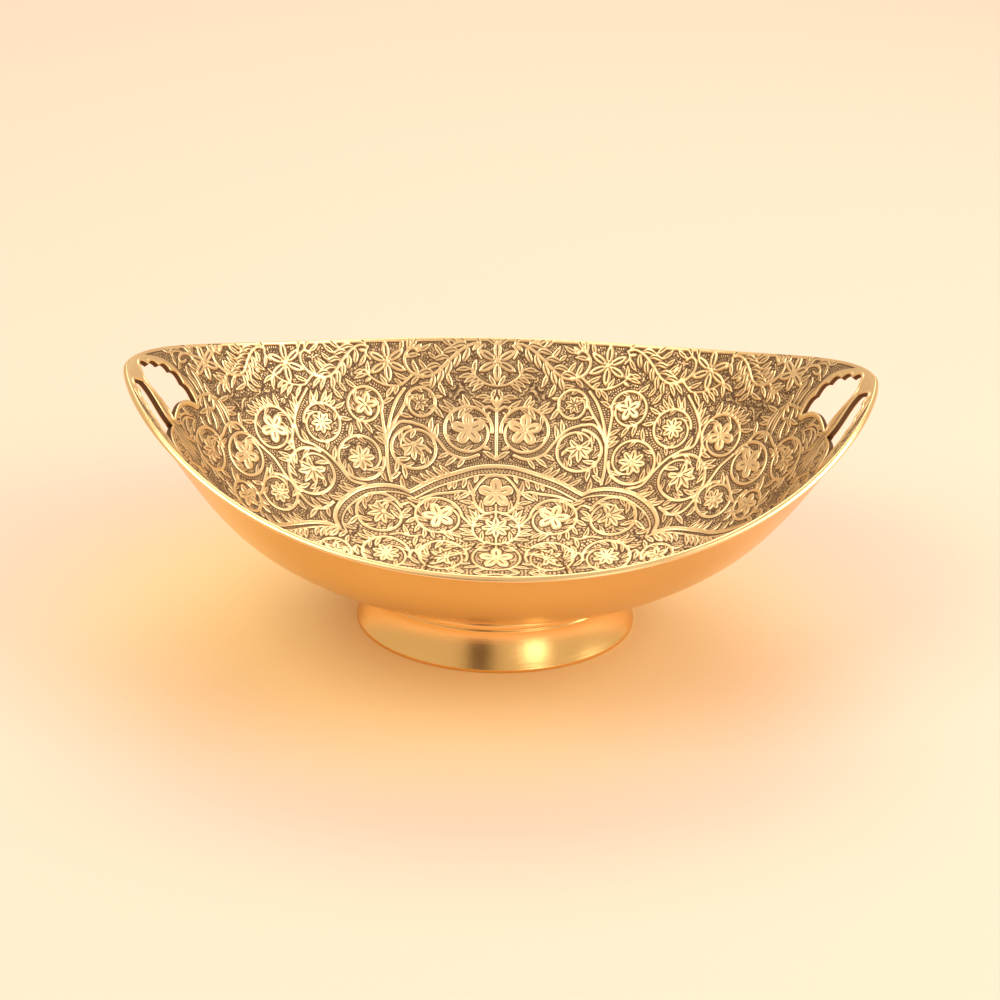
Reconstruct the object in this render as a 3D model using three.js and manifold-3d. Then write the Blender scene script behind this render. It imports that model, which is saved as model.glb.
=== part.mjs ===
// Footed oval bowl of cast brass, its two raised ends pierced as handles, in millimetres, +Z up.
// The origin is on the table under the middle of the foot, and the bowl is long along X.
import * as THREE from 'three';
import { mergeVertices } from 'three/addons/utils/BufferGeometryUtils.js';
import Module from 'manifold-3d';

const wasm = await Module();
wasm.setup();

// Rim: its plan, and its height at the middle of the long sides and at the tips
const bowlLength = 300;
const bowlWidth = 206;
const rimHeight = 79.5;
const tipRise = 33.3;
const earlyRise = 0.54; // share of the rise that is gained evenly, the rest comes close to the tips
const rimFullness = 1.62; // 2 gives an ellipse, less draws the ends of the plan to a point
const floorFullness = 2.26;
const fullnessOnset = 4.8; // the more, the closer to the rim the plan turns from floor to rim shape

// Wall: how steeply it climbs at the sides and at the ends, and how it flares out under the rim
const undersideHeight = 19;
const wallThickness = 2.4;
const rimRound = 0.7;
const sideCurve = 2.73;
const endCurve = 4;
const sideFlare = 0.05;
const endFlare = 0.2;
const flareOnset = 19;
const endOnset = 7.3;

// Handle openings, placed by the drop below the tip and the distance across from the long axis
const openingDrop = 5;
const openingDepth = 38;
const openingReach = 24.5;
const cornerReach = 6.4;
const lobeCount = 5;
const lobeGrowth = 1.15; // more than 1 makes each lobe longer than the one above it
const lobeDepth = 1.8;
const lobeFade = 0.5; // share of their depth that the lobes lose on the way down
const rimSideBow = 3; // pulls of the rim side on its curve, out from its reach and down
const rimSideSag = 13.2;
const voluteRise = 13;
const voluteRootLean = 0.69; // pulls of the volute's curve, as shares of its rise and its reach
const voluteTipLean = 1.08;
const voluteRootReach = 0.84;
const voluteTipReach = 0.59;
const barTipDrop = 8;
const barTipWidth = 4.8;
const barRootWidth = 5.2;
const barBellyReach = 6.4; // pulls of the bar's side on its curve, from the long axis
const barNeckReach = 0.6;
const barBellyPlace = 0.27; // where they pull, as shares of the way from the root to the tip
const barNeckPlace = 0.68;

// Foot: an oval ring cut to the underside, with a turned step below its neck
const footLength = 116.8;
const footWidth = 88.8;
const footFlare = 5.8;
const footWall = 2.8;
const footLip = 1.4;
const footChamfer = 0.4;
const flareBend = 1.5; // 1 gives a straight skirt, more hollows it towards the neck
const stepHeight = 16.6;
const stepDepth = 0.5;

// Joint between bowl and foot
const seatClearance = 0.3;
const filletLeg = 3;
const filletHollow = 0.3; // share of the leg at which the fillet's face stands off its corner

// Fineness of the surfaces
const aroundBowl = 80;
const wallRings = 15;
const ringCrowding = 1.35; // draws the rings closer together towards the rim
const aroundFoot = 72;
const flareSteps = 4;
const lobeSteps = 5;
const volutePoints = 8;
const barPoints = 8;

// Height of the rim at a turn about the vertical axis, with the tips at 0 and half a turn
function rimHeightAt(turn) {
  const along = Math.cos(turn);
  const rise = earlyRise * along ** 2 + (1 - earlyRise) * along ** 4;
  return rimHeight + tipRise * rise;
}

// Outside of the wall at a share of the way from the middle of the floor to the rim
function outsidePoint(share, turn) {
  const along = Math.cos(turn);
  const across = Math.sin(turn);
  const fullness = THREE.MathUtils.lerp(floorFullness, rimFullness, share ** fullnessOnset);
  const towardsEnd = Math.abs(along) ** endOnset;
  const curve = THREE.MathUtils.lerp(sideCurve, endCurve, towardsEnd);
  const flare = THREE.MathUtils.lerp(sideFlare, endFlare, towardsEnd);
  const climb = (1 + flare) * share ** curve - flare * share ** flareOnset;
  return new THREE.Vector3(
    (share * bowlLength * along) / 2,
    (share * bowlWidth * Math.sign(across) * Math.abs(across) ** (2 / fullness)) / 2,
    undersideHeight + (rimHeightAt(turn) - undersideHeight) * climb,
  );
}

// Direction square to the wall, pointing into the bowl
function inwardNormal(share, turn) {
  const step = 0.001;
  const inner = Math.max(share - step, step);
  const outer = Math.min(share + step, 1);
  const outward = outsidePoint(outer, turn).sub(outsidePoint(inner, turn));
  const middle = (inner + outer) / 2;
  const around = outsidePoint(middle, turn + step).sub(outsidePoint(middle, turn - step));
  return outward.cross(around).normalize();
}

// Point within the wall, at a depth from the outside towards the inside
function wallPoint(share, turn, depth) {
  return outsidePoint(share, turn).addScaledVector(inwardNormal(share, turn), depth);
}

// Share and turn of the wall straight above a point of the plan
function placeAbove(x, y) {
  const end = (2 * Math.abs(x)) / bowlLength;
  let low = end;
  let high = 1.2;
  for (let i = 0; i < 40; i++) {
    const share = (low + high) / 2;
    if (outsidePoint(share, Math.acos(end / share)).y < Math.abs(y)) low = share;
    else high = share;
  }
  const share = (low + high) / 2;
  const turn = Math.acos(Math.min(1, end / share));
  const mirrored = x < 0 ? Math.PI - turn : turn;
  return { share, turn: y < 0 ? -mirrored : mirrored };
}

// Height of the underside above a point of the plan
function undersideAt(x, y) {
  const place = placeAbove(x, y);
  return outsidePoint(place.share, place.turn).z;
}

// Plan distance from the middle to the place that lies a drop below the tip, down the end wall
function endReach(drop) {
  const step = 0.001;
  let share = 1;
  let length = 0;
  while (length < drop && share > step) {
    const here = outsidePoint(share, 0);
    const run = here.distanceTo(outsidePoint(share - step, 0));
    share -= step * Math.min(1, (drop - length) / run);
    length += run;
  }
  return (share * bowlLength) / 2;
}

// Corners and faces of a closed skin through rings of equal count
function skinThroughRings(rings, closesOnItself) {
  const count = rings[0].length;
  const faces = [];
  const joins = closesOnItself ? rings.length : rings.length - 1;
  for (let ring = 0; ring < joins; ring++) {
    const here = ring * count;
    const next = ((ring + 1) % rings.length) * count;
    for (let k = 0; k < count; k++) {
      const after = (k + 1) % count;
      faces.push(here + k, here + after, next + after);
      faces.push(here + k, next + after, next + k);
    }
  }
  return { corners: rings.flat(), faces };
}

function geometryFrom(corners, faces) {
  const geometry = new THREE.BufferGeometry().setFromPoints(corners);
  geometry.setIndex(faces);
  return geometry;
}

function ringAround(count, pointAt) {
  return Array.from({ length: count }, (_, k) => pointAt((2 * Math.PI * k) / count));
}

// Bowl wall: up the outside, over the rounded rim and down the inside, with a point at each middle
function bowlShell() {
  const shares = [];
  for (let i = 1; i <= wallRings; i++) shares.push(1 - (1 - i / wallRings) ** ringCrowding);
  const rings = [];
  for (const share of shares) {
    rings.push(ringAround(aroundBowl, (turn) => wallPoint(share, turn, 0)));
  }
  rings.push(ringAround(aroundBowl, rimCrest));
  for (const share of shares.toReversed()) {
    rings.push(ringAround(aroundBowl, (turn) => wallPoint(share, turn, wallThickness)));
  }
  const { corners, faces } = skinThroughRings(rings, false);
  const under = corners.push(new THREE.Vector3(0, 0, undersideHeight)) - 1;
  const over = corners.push(new THREE.Vector3(0, 0, undersideHeight + wallThickness)) - 1;
  const lastRing = (rings.length - 1) * aroundBowl;
  for (let k = 0; k < aroundBowl; k++) {
    const after = (k + 1) % aroundBowl;
    faces.push(under, after, k);
    faces.push(over, lastRing + k, lastRing + after);
  }
  return geometryFrom(corners, faces);
}

// Highest line of the rim, standing proud of the middle of the wall's edge
function rimCrest(turn) {
  const step = 0.01;
  const up = wallPoint(1, turn, 0).sub(wallPoint(1 - step, turn, 0)).normalize();
  return wallPoint(1, turn, wallThickness / 2).addScaledVector(up, rimRound);
}

// Outline of one opening as drops and distances across: lobed rim side, volute, then the middle bar
function openingOutline() {
  const { lerp } = THREE.MathUtils;
  const lowDrop = openingDrop + openingDepth;
  const notchDrop = lowDrop - voluteRise;
  const rimSide = new THREE.QuadraticBezierCurve(
    new THREE.Vector2(openingDrop, cornerReach),
    new THREE.Vector2(openingDrop + rimSideSag, openingReach + rimSideBow),
    new THREE.Vector2(lowDrop, openingReach),
  );
  const volute = new THREE.CubicBezierCurve(
    new THREE.Vector2(lowDrop, openingReach),
    new THREE.Vector2(lowDrop - voluteRise * voluteRootLean, openingReach * voluteRootReach),
    new THREE.Vector2(lowDrop - voluteRise * voluteTipLean, openingReach * voluteTipReach),
    new THREE.Vector2(notchDrop, barRootWidth / 2),
  );
  const barSide = new THREE.CubicBezierCurve(
    new THREE.Vector2(notchDrop, barRootWidth / 2),
    new THREE.Vector2(lerp(notchDrop, barTipDrop, barBellyPlace), barBellyReach),
    new THREE.Vector2(lerp(notchDrop, barTipDrop, barNeckPlace), barNeckReach),
    new THREE.Vector2(barTipDrop, barTipWidth / 2),
  );
  const outline = [];
  for (let k = 0; k < lobeCount * lobeSteps; k++) {
    const t = (k / (lobeCount * lobeSteps)) ** lobeGrowth;
    const tangent = rimSide.getTangentAt(t);
    const lobe = Math.abs(Math.sin((Math.PI * k) / lobeSteps));
    const bulge = lobeDepth * (1 - lobeFade * t) * lobe;
    const away = new THREE.Vector2(-tangent.y, tangent.x).multiplyScalar(bulge);
    outline.push(rimSide.getPointAt(t).add(away));
  }
  outline.push(...volute.getSpacedPoints(volutePoints).slice(0, -1));
  outline.push(...barSide.getSpacedPoints(barPoints));
  return outline;
}

// Block that follows the wall and reaches through it, over the outline on one of the four places
function openingBlock(end, side) {
  const plan = openingOutline().map(
    (p) => new THREE.Vector2(end * endReach(p.x), side * p.y),
  );
  if (THREE.ShapeUtils.isClockWise(plan)) plan.reverse();
  const reach = 2 * wallThickness;
  const places = plan.map((p) => placeAbove(p.x, p.y));
  const below = places.map((p) => wallPoint(p.share, p.turn, -reach));
  const above = places.map((p) => wallPoint(p.share, p.turn, wallThickness + reach));
  const { corners, faces } = skinThroughRings([below, above], false);
  for (const [a, b, c] of THREE.ShapeUtils.triangulateShape(plan, [])) {
    faces.push(c, b, a);
    faces.push(plan.length + a, plan.length + b, plan.length + c);
  }
  return geometryFrom(corners, faces);
}

function asSolid(geometry) {
  const merged = mergeVertices(geometry, 1e-5);
  return new wasm.Manifold(
    new wasm.Mesh({
      numProp: 3,
      vertProperties: new Float32Array(merged.attributes.position.array),
      triVerts: new Uint32Array(merged.index.array),
    }),
  );
}

function asGeometry(solid) {
  const mesh = solid.getMesh();
  const geometry = new THREE.BufferGeometry();
  geometry.setAttribute('position', new THREE.BufferAttribute(mesh.vertProperties, 3));
  geometry.setIndex(new THREE.BufferAttribute(mesh.triVerts, 1));
  return geometry;
}

// Bowl with its two pairs of handle openings, cast in one piece
function bowlGeometry() {
  let solid = asSolid(bowlShell());
  for (const end of [-1, 1]) {
    for (const side of [-1, 1]) solid = solid.subtract(asSolid(openingBlock(end, side)));
  }
  return asGeometry(solid);
}

// Ring round the foot at an outward offset from its base, at a height found from the plan point
function footRing(offset, heightAt) {
  return ringAround(aroundFoot, (turn) => {
    const x = (footLength / 2 + offset) * Math.cos(turn);
    const y = (footWidth / 2 + offset) * Math.sin(turn);
    return new THREE.Vector3(x, y, heightAt(x, y));
  });
}

// Foot: hollow flare up to the step, a neck above it, and a top edge cut to the underside
function footGeometry() {
  const neck = -footFlare;
  const level = (height) => () => height;
  const seat = (x, y) => undersideAt(x, y) - seatClearance;
  const outside = [footRing(-footChamfer, level(0)), footRing(0, level(footChamfer))];
  for (let i = 0; i <= flareSteps; i++) {
    const t = i / flareSteps;
    const height = THREE.MathUtils.lerp(footLip, stepHeight - stepDepth, t);
    outside.push(footRing(neck * (1 - (1 - t) ** flareBend), level(height)));
  }
  outside.push(footRing(neck - stepDepth, level(stepHeight)));
  outside.push(footRing(neck - stepDepth, seat));
  const inside = [
    footRing(neck - footWall, seat),
    footRing(neck - footWall, level(stepHeight / 2)),
    footRing(-footWall, level(footLip)),
    footRing(-footWall, level(0)),
  ];
  const { corners, faces } = skinThroughRings([...outside, ...inside], true);
  return geometryFrom(corners, faces);
}

// Fillet of filler metal in the corner between the inside of the neck and the underside
function filletGeometry() {
  const face = -footFlare - footWall - seatClearance;
  const under = (drop) => (x, y) => undersideAt(x, y) - seatClearance - drop;
  const rings = [
    footRing(face, under(filletLeg)),
    footRing(face, under(0)),
    footRing(face - filletLeg, under(0)),
    footRing(face - filletLeg * filletHollow, under(filletLeg * filletHollow)),
  ];
  const { corners, faces } = skinThroughRings(rings, true);
  return geometryFrom(corners, faces);
}

function named(name, geometry, material) {
  const mesh = new THREE.Mesh(geometry, material);
  mesh.name = name;
  return mesh;
}

const castBrass = new THREE.MeshStandardMaterial({ color: 0xd8a05a, roughness: 0.3, metalness: 1 });
const turnedBrass = new THREE.MeshStandardMaterial({ color: 0xe3ad68, roughness: 0.2, metalness: 1 });
const fillerMetal = new THREE.MeshStandardMaterial({ color: 0xc8b078, roughness: 0.5, metalness: 1 });

const nutBowl = new THREE.Group();
nutBowl.add(named('bowl', bowlGeometry(), castBrass));
nutBowl.add(named('foot_ring', footGeometry(), turnedBrass));
nutBowl.add(named('braze_fillet', filletGeometry(), fillerMetal));

export default nutBowl;
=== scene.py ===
import math
from functools import partialmethod

import bpy
import numpy as np
from mathutils import Matrix, Vector


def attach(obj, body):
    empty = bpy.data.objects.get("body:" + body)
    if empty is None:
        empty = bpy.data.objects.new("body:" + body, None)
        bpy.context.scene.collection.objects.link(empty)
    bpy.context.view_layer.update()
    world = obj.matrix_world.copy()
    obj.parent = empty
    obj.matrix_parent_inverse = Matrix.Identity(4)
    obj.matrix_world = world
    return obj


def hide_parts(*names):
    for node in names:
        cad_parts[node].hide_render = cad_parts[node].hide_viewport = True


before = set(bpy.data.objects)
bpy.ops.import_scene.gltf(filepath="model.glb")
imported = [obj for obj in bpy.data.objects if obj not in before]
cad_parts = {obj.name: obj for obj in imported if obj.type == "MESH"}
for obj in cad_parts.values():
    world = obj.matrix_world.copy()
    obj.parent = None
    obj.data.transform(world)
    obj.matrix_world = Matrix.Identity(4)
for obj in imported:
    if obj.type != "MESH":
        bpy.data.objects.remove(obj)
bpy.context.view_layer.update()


# ---- Outside of the bowl ----
# The bowl is one brass casting, oval and boat shaped, its ends drawn up and flared.
# The outside is filed, ground and buffed to a warm mirror with faint marks from the mop.

mm, degree = 0.001, math.pi / 180
bowl_length, bowl_width = 300.0, 206.0
rim_height, tip_rise, early_rise = 79.5, 33.3, 0.54
rim_fullness, floor_fullness, fullness_onset = 1.62, 2.26, 4.8
underside_height, wall_thickness, rim_round = 19.0, 2.4, 0.7
side_curve, end_curve = 2.73, 4.0
side_flare, end_flare = 0.05, 0.2
flare_onset, end_onset = 19, 7.3
widest_share, halvings = 1.2, 34


def mixed(a, b, t):
    return a + (b - a) * t


def unit(vectors):
    """The same directions, each of length one."""
    return vectors / np.linalg.norm(vectors, axis=-1, keepdims=True)


def outside_of_wall(share, turn):
    """Outside of the wall in mm, on arrays. share runs from 0 at the middle of the floor to 1 at the
    rim, turn is the angle about the vertical from the right tip. The plan is a superellipse that
    grows with share, and the height climbs as a power of share less a higher power, the flare."""
    along, across = np.cos(turn), np.sin(turn)
    fullness = mixed(floor_fullness, rim_fullness, share**fullness_onset)
    towards_end = np.abs(along) ** end_onset
    curve = mixed(side_curve, end_curve, towards_end)
    flare = mixed(side_flare, end_flare, towards_end)
    climb = (1 + flare) * share**curve - flare * share**flare_onset
    rim = rim_height + tip_rise * (early_rise * along**2 + (1 - early_rise) * along**4)
    x = share * bowl_length / 2 * along
    y = share * bowl_width / 2 * np.sign(across) * np.abs(across) ** (2 / fullness)
    return np.stack([x, y, underside_height + (rim - underside_height) * climb], -1)


def into_bowl(share, turn):
    """Unit direction into the bowl, square to the wall, from points a little apart."""
    step = 0.001
    inner, outer = np.maximum(share - step, step), np.minimum(share + step, 1.0)
    middle = (inner + outer) / 2
    outward = outside_of_wall(outer, turn) - outside_of_wall(inner, turn)
    around = outside_of_wall(middle, turn + step) - outside_of_wall(middle, turn - step)
    return unit(np.cross(outward, around))


def in_wall(share, turn, depth):
    """Point in the wall, depth mm inward from the outside along the normal."""
    share, turn, depth = np.broadcast_arrays(share, turn, depth)
    return outside_of_wall(share, turn) + into_bowl(share, turn) * depth[..., None]


def place_above(x, y):
    """Share and turn of the outside straight above plan points, by halving the range of share."""
    x, y = np.broadcast_arrays(np.asarray(x, float), np.asarray(y, float))
    end = 2 * np.abs(x) / bowl_length
    low, high = end.copy(), np.full(end.shape, widest_share)

    def turn_at(share):
        return np.arccos(np.clip(end / np.maximum(share, 1e-9), 0, 1))

    for _ in range(halvings):
        share = (low + high) / 2
        short = outside_of_wall(share, turn_at(share))[..., 1] < np.abs(y)
        low, high = np.where(short, share, low), np.where(short, high, share)
    share = (low + high) / 2
    turn = np.where(x < 0, np.pi - turn_at(share), turn_at(share))
    return share, np.where(y < 0, -turn, turn)


def lengths_along(points):
    """Distance from the first point to each point of a line."""
    return np.concatenate([[0.0], np.cumsum(np.linalg.norm(np.diff(points, axis=0), axis=1))])


def even_turns(start, end, count, share=0.86, crowding=0.0):
    """Turns from start to end that stand evenly along the wall at one share. Crowding draws them
    closer together near the two tips."""
    turn = np.linspace(start, end, 4001)
    walked = lengths_along(outside_of_wall(np.full_like(turn, share), turn))
    steps = np.diff(walked) * (1 + crowding * np.abs(np.cos((turn[1:] + turn[:-1]) / 2)) ** 24)
    walked = np.concatenate([[0.0], np.cumsum(steps)])
    return np.interp(np.linspace(0, walked[-1], count), walked, turn)


keel_share = np.linspace(1, 0.3, 1401)
keel_points = outside_of_wall(keel_share, np.zeros_like(keel_share))
keel_drop = lengths_along(keel_points)


def end_reach(drop):
    """Plan distance from the middle to the place a drop below the tip, walking down the end."""
    return np.interp(drop, keel_drop, keel_points[:, 0])


opening_drop, opening_depth, opening_reach, corner_reach = 5.0, 38.0, 24.5, 6.4
lobe_count, lobe_growth, lobe_depth, lobe_fade = 5, 1.15, 1.8, 0.5
rim_side_bow, rim_side_sag = 3.0, 13.2
volute_rise, volute_root_lean, volute_tip_lean = 13.0, 0.69, 1.08
volute_root_reach, volute_tip_reach = 0.84, 0.59
bar_tip_drop, bar_tip_width, bar_root_width = 8.0, 4.8, 5.2
bar_belly_reach, bar_neck_reach = 6.4, 0.6
bar_belly_place, bar_neck_place = 0.27, 0.68


def evenly(line, count, endpoint=True):
    """The same line by a count of points that stand evenly along it."""
    walked = lengths_along(line)
    even = np.linspace(0, walked[-1], count, endpoint=endpoint)
    return np.stack([np.interp(even, walked, part) for part in line.T], -1)


def bezier(points, count):
    """Points evenly spaced by length along a Bezier curve with these control points."""
    t = np.linspace(0, 1, 801)[:, None]
    top = len(points) - 1
    parts = [math.comb(top, k) * t**k * (1 - t) ** (top - k) * np.array(p) for k, p in enumerate(points)]
    return evenly(sum(parts), count)


def rim_side_curve(count):
    """Middle line of the lobed side of an opening, the one along the rim."""
    start, end = (opening_drop, corner_reach), (opening_drop + opening_depth, opening_reach)
    return bezier([start, (opening_drop + rim_side_sag, opening_reach + rim_side_bow), end], count)


def left_of(directions):
    """Directions a quarter turn to the left."""
    return np.stack([-directions[:, 1], directions[:, 0]], -1)


def opening_outline(count):
    """Outline of one handle opening as drop below the tip and distance across from the long axis:
    a lobed side along the rim, a volute across the bottom, and the side of the middle bar."""
    low = opening_drop + opening_depth
    notch = low - volute_rise
    rim_side = rim_side_curve(601)
    place = np.linspace(0, 1, len(rim_side))[:, None]
    lobe = np.abs(np.sin(np.pi * lobe_count * place ** (1 / lobe_growth)))
    bulge = lobe_depth * (1 - lobe_fade * place) * lobe
    rim_side = rim_side + left_of(unit(np.gradient(rim_side, axis=0))) * bulge
    volute = [
        (low, opening_reach),
        (low - volute_rise * volute_root_lean, opening_reach * volute_root_reach),
        (low - volute_rise * volute_tip_lean, opening_reach * volute_tip_reach),
        (notch, bar_root_width / 2),
    ]
    bar = [
        (notch, bar_root_width / 2),
        (mixed(notch, bar_tip_drop, bar_belly_place), bar_belly_reach),
        (mixed(notch, bar_tip_drop, bar_neck_place), bar_neck_reach),
        (bar_tip_drop, bar_tip_width / 2),
    ]
    sides = [rim_side, bezier(volute, 121)[1:], bezier(bar, 121)[1:], rim_side[:1]]
    return evenly(np.concatenate(sides), count, endpoint=False)


def opening_distance(share, turn):
    """Distance from wall places to the nearest opening, measured on the wall, negative inside."""
    far_away, near_below, near_beside, at_once = 99.0, 6, 8, 20000
    plan = outside_of_wall(share, turn)
    drop = np.interp(np.abs(plan[..., 0]), keel_points[::-1, 0], keel_drop[::-1]).ravel()
    across = np.abs(plan[..., 1]).ravel()
    distance = np.full(drop.shape, far_away)
    loop = opening_outline(260)
    after = np.roll(loop, -1, axis=0)
    near = (drop < opening_drop + opening_depth + near_below) & (across < opening_reach + near_beside)
    near = np.nonzero(near)[0]
    for chunk in np.array_split(near, max(1, len(near) // at_once)):
        p = np.stack([drop[chunk], across[chunk]], -1)[:, None]
        edge = after - loop
        t = np.clip(((p - loop) * edge).sum(-1) / (edge**2).sum(-1), 0, 1)
        gap = np.linalg.norm(p - loop - t[..., None] * edge, axis=-1).min(1)
        above = (loop[:, 1] > p[..., 1]) != (after[:, 1] > p[..., 1])
        rise = np.where(edge[:, 1] == 0, 1e-9, edge[:, 1])
        crossing = loop[:, 0] + (p[..., 1] - loop[:, 1]) * edge[:, 0] / rise
        inside = (above & (p[..., 0] < crossing)).sum(1) % 2 == 1
        distance[chunk] = np.where(inside, -gap, gap)
    return distance.reshape(plan.shape[:-1])


def grid_faces(rows, columns):
    """Quads between neighbouring rows and columns, numbered row by row, closed round each row."""
    row = np.arange(rows - 1)[:, None] * columns
    column = np.arange(columns)[None, :]
    after = (column + 1) % columns
    quads = [row + column, row + after, row + columns + after, row + columns + column]
    return np.stack(quads, -1).reshape(-1, 4)


def make_mesh(name, finish, points, faces, values=None):
    """Mesh object from corner points in mm and faces of equal corner counts, smoothly shaded, with
    one number stored for each corner under each name in values."""
    mesh = bpy.data.meshes.new(name)
    mesh.vertices.add(len(points))
    mesh.vertices.foreach_set("co", (points * mm).astype(np.float32).ravel())
    mesh.loops.add(faces.size)
    mesh.loops.foreach_set("vertex_index", faces.astype(np.int32).ravel())
    mesh.polygons.add(len(faces))
    mesh.polygons.foreach_set("loop_start", np.arange(0, faces.size, faces.shape[1], dtype=np.int32))
    mesh.update(calc_edges=True)
    mesh.polygons.foreach_set("use_smooth", np.ones(len(faces), bool))
    for key, numbers in (values or {}).items():
        layer = mesh.attributes.new(key, "FLOAT", "POINT")
        layer.data.foreach_set("value", numbers.astype(np.float32))
    mesh.update()
    mesh.materials.append(finish.material)
    piece = bpy.data.objects.new(name, mesh)
    bpy.context.scene.collection.objects.link(piece)
    return piece


def add_piece(name, finish, node, points, quads, triangles=(), values=None):
    """One piece of the object in the place of a node, of quads and lists of triangles, without the
    corners that no face uses."""
    faces = np.concatenate([quads[:, [0, 1, 2]], quads[:, [0, 2, 3]], *triangles])
    used, numbers = np.unique(faces, return_inverse=True)
    values = {key: np.ravel(value)[used] for key, value in (values or {}).items()}
    points = points.reshape(-1, 3)[used]
    piece = make_mesh(name, finish, points, numbers.reshape(faces.shape), values)
    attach(piece, "root")
    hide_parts(node)


class Level:
    """A number or colour in a material. Arithmetic on it adds Math nodes, so it is for numbers."""

    def __init__(self, socket):
        self.socket = socket

    def worked(self, operation, *others):
        return math_node(self.socket.id_data, operation, self, *others)

    def __rsub__(self, other):
        return math_node(self.socket.id_data, "SUBTRACT", other, self)

    __add__ = __radd__ = partialmethod(worked, "ADD")
    __mul__ = __rmul__ = partialmethod(worked, "MULTIPLY")
    __sub__, __truediv__ = partialmethod(worked, "SUBTRACT"), partialmethod(worked, "DIVIDE")


def join(tree, value, socket):
    """Links a Level to a socket, or sets the socket to a plain value."""
    if isinstance(value, Level):
        tree.links.new(value.socket, socket)
    else:
        socket.default_value = (*value, 1.0) if socket.type == "RGBA" else value


def math_node(tree, operation, *values):
    node = tree.nodes.new("ShaderNodeMath")
    node.operation = operation
    for socket, value in zip(node.inputs, values):
        join(tree, value, socket)
    return Level(node.outputs[0])


class Finish:
    """A metal or other surface finish: a material and the nodes that work it out."""

    def __init__(self, name):
        self.material = bpy.data.materials.new(name)
        self.material.use_nodes = True
        self.tree = self.material.node_tree
        self.surface = self.tree.nodes["Principled BSDF"]

    def node(self, kind, sockets, output=0, **settings):
        """Adds one node: its settings first, then its sockets by name or number."""
        node = self.tree.nodes.new("ShaderNode" + kind)
        for key, value in settings.items():
            setattr(node, key, value)
        for key, value in sockets.items():
            join(self.tree, value, node.inputs[key])
        return Level(node.outputs[output])

    def object_place(self, **sockets):
        """Place on the object, moved and stretched as the sockets say."""
        return self.node("Mapping", {"Vector": self.node("TexCoord", {}, 3), **sockets})

    def stored(self, name):
        return self.node("Attribute", {}, 2, attribute_name=name)

    def noise(self, scale, detail, rough, stretch=(1.0, 1.0, 1.0)):
        sockets = {"Vector": self.object_place(Scale=stretch), "Scale": scale}
        return self.node("TexNoise", {**sockets, "Detail": detail, "Roughness": rough})

    def between(self, low, high, value):
        """0 below low and 1 above high, smooth between them."""
        limits = {"Value": value, "From Min": low, "From Max": high}
        return self.node("MapRange", limits, interpolation_type="SMOOTHSTEP")

    def colours(self, mask, low, high):
        """Colour that goes from low to high as mask goes from 0 to 1."""
        return self.node("Mix", {0: mask, 6: low, 7: high}, 2, data_type="RGBA")

    def bump(self, height, distance, strength):
        return self.node("Bump", {"Height": height, "Distance": distance, "Strength": strength})

    def set(self, **sockets):
        for key, value in sockets.items():
            join(self.tree, value, self.surface.inputs[key.replace("_", " ")])


buffed = Finish("buffed_brass")
mop_marks = buffed.noise(60, 4, 0.6, stretch=(1.0, 1.0, 9.0))
handled = buffed.noise(14, 3, 0.55)
buffed.set(
    Metallic=1.0,
    Base_Color=buffed.colours(handled, (0.77, 0.49, 0.15), (0.84, 0.57, 0.20)),
    Roughness=0.15 + 0.10 * mop_marks + 0.08 * handled,
    Normal=buffed.bump(mop_marks, 0.00004, 0.35),
)

shell_columns, shell_rings, shell_crowding, shell_clearance = 960, 101, 2.2, 0.2
shell_turns = even_turns(0, 2 * np.pi, shell_columns + 1, crowding=shell_crowding)[:-1]
shell_shares = 1 - (1 - np.linspace(0, 1, shell_rings + 1)[1:]) ** 1.12
shell_share, shell_turn = np.meshgrid(shell_shares, shell_turns, indexing="ij")
shell_points = in_wall(shell_share, shell_turn, 0.0).reshape(-1, 3)
shell_clear = opening_distance(shell_share, shell_turn).ravel() > shell_clearance
shell_quads = grid_faces(*shell_share.shape)[:, ::-1]
shell_quads = shell_quads[shell_clear[shell_quads].all(1)]
ring = np.arange(shell_columns)
shell_fan = np.stack([np.full(shell_columns, len(shell_points)), np.roll(ring, -1), ring], -1)
shell_points = np.concatenate([shell_points, [[0, 0, underside_height]]])
add_piece("bowl_outside", buffed, "bowl", shell_points, shell_quads, [shell_fan])


# ---- Rim ----
# The edge of the casting, filed to a half round and buffed bright, runs on round both handles.
# It belongs to the same casting as the wall.

lip_turns = even_turns(0, 2 * np.pi, 1921, share=1.0)[:-1]
lip_bend = np.linspace(0, np.pi, 13)
lip_up = unit(in_wall(1.0, lip_turns, 0.0) - in_wall(0.99, lip_turns, 0.0))
lip_depth = wall_thickness / 2 * (1 - np.cos(lip_bend))
lip_points = in_wall(1.0, lip_turns[None, :], lip_depth[:, None])
lip_points = lip_points + lip_up * (rim_round * np.sin(lip_bend))[:, None, None]
lip_quads = grid_faces(len(lip_bend), len(lip_turns))[:, ::-1]

bright = Finish("buffed_rim")
rim_wear = bright.noise(45, 3, 0.6)
bright.set(
    Metallic=1.0,
    Base_Color=bright.colours(rim_wear, (0.84, 0.58, 0.26), (0.93, 0.71, 0.40)),
    Roughness=0.22 + 0.14 * rim_wear,
    Normal=bright.bump(rim_wear, 0.00008, 0.4),
)
add_piece("rim", bright, "bowl", lip_points, lip_quads)


# ---- Edges of the handle openings ----
# Each opening is cast through the end and filed. A smooth raised band borders it on the inside, the
# cut through the wall is coloured near black as painted shade, and on the outside the edge is only
# rounded over.

band_width, band_rise, band_smoothing, bar_margin = 1.5, 0.34, 26.0, 0.12


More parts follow.
